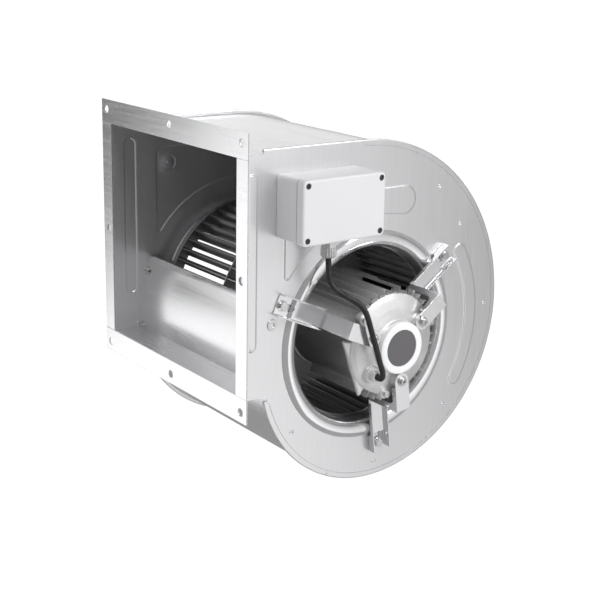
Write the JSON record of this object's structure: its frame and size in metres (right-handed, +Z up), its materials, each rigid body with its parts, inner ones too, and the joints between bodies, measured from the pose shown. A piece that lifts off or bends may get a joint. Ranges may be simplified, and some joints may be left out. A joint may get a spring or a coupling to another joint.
{
  "type": "direct-drive double-inlet centrifugal blower",
  "caption": "Sheet-steel scroll blower with a forward-curved wheel, a finned motor in one inlet and a square outlet flange.",
  "frame": {"origin": "centre of the outlet flange's front face, which is the centre of its eight bolt holes", "axes": "+Z up, -X out of the outlet, fan axis parallel to Y with the motor on the -Y side"},
  "size_m": [0.3922, 0.3671, 0.4352],
  "materials": {
    "galvanised": "galvanised sheet, satin",
    "zinc_steel": "zinc plated",
    "bearing_steel": "ground",
    "cast_aluminium": "as cast, satin",
    "laminations": "dull",
    "winding": "varnished copper",
    "white_plastic": "satin",
    "grey_plastic": "matt",
    "box_plastic": "satin",
    "gland_metal": "nickel plated",
    "cable_sheath": "satin black",
    "seal": "matt",
    "dark_screw": "black oxide"
  },
  "bodies": {
    "housing": {"side_plate_motor": "galvanised", "side_plate_rear": "galvanised", "scroll_wrap": "galvanised", "cutoff_lip": "galvanised", "outlet_floor": "galvanised", "flange_rail_top": "galvanised", "flange_rail_bottom": "galvanised", "flange_rail_left": "galvanised", "flange_rail_right": "galvanised", "inlet_ring_motor": "galvanised", "inlet_ring_rear": "galvanised", "tongue_rivets": "zinc_steel", "plate_rivnuts": "zinc_steel", "support_arm_left": "galvanised", "support_arm_right": "galvanised", "support_arm_bottom": "galvanised", "motor_bracket_left": "galvanised", "motor_bracket_right": "galvanised", "motor_bracket_bottom": "galvanised", "arm_screws": "zinc_steel", "arm_nuts": "zinc_steel", "bracket_bolts": "zinc_steel", "motor_frame": "cast_aluminium", "motor_end_shield": "cast_aluminium", "motor_rear_shield": "cast_aluminium", "tie_bolts": "zinc_steel", "stator_core": "laminations", "stator_windings": "winding", "bearing_outer_rings": "bearing_steel", "bearing_balls": "bearing_steel", "wave_washer": "bearing_steel", "shield_cap_ring": "white_plastic", "shield_cap": "grey_plastic", "motor_gland": "gland_metal", "motor_gland_nut": "gland_metal", "motor_cable": "cable_sheath", "terminal_box": "box_plastic", "terminal_box_lid": "box_plastic", "lid_gasket": "seal", "lid_screws": "dark_screw", "box_screws": "zinc_steel", "terminal_block": "white_plastic", "run_capacitor": "grey_plastic", "box_gland": "gland_metal", "box_gland_nut": "gland_metal"},
    "wheel": {"wheel_centre_disc": "galvanised", "wheel_hub": "zinc_steel", "hub_rivets": "zinc_steel", "hub_set_screw": "dark_screw", "blades_motor_side": "galvanised", "blades_rear_side": "galvanised", "wheel_ring_motor": "galvanised", "wheel_ring_rear": "galvanised", "motor_shaft": "bearing_steel", "rotor_core": "laminations", "bearing_inner_rings": "bearing_steel"}
  },
  "joints": [
    {"name": "wheel_spin", "type": "hinge", "parent": "housing", "child": "wheel", "pos_m": [0.186, 0, -0.095], "axis": [0, -1, 0], "continuous": true}
  ]
}
